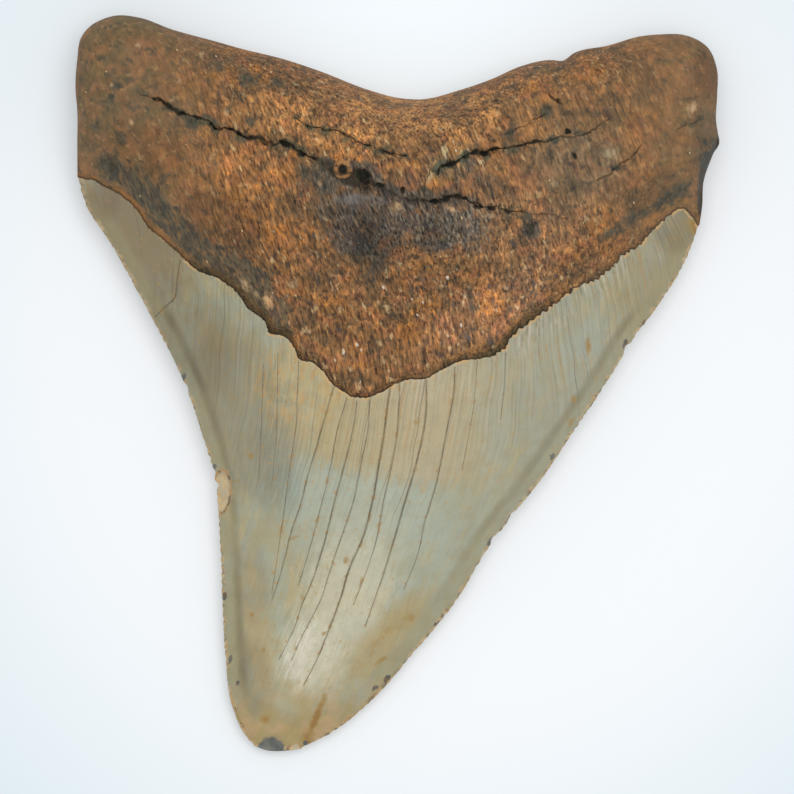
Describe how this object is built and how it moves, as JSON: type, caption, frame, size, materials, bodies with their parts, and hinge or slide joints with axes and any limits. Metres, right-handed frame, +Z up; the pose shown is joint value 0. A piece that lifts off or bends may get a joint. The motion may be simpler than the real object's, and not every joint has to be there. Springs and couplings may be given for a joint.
{
  "type": "fossil shark tooth",
  "caption": "Large fossil shark tooth lying on its flatter face, with a pale cracked enamel crown, worn serrated edges and a rough brown lobed root.",
  "frame": {"origin": "centre of the tooth's outline, on the surface that it lies on", "axes": "+Y runs from the tip to the root's lobes, +X to the right as seen from above, +Z up out of the rounder face"},
  "size_m": [0.103, 0.1178, 0.0256],
  "materials": {
    "tooth": "satin worn enamel on the crown, matt fibrous brown root"
  },
  "bodies": {
    "root": {"tooth": "tooth"}
  },
  "joints": []
}
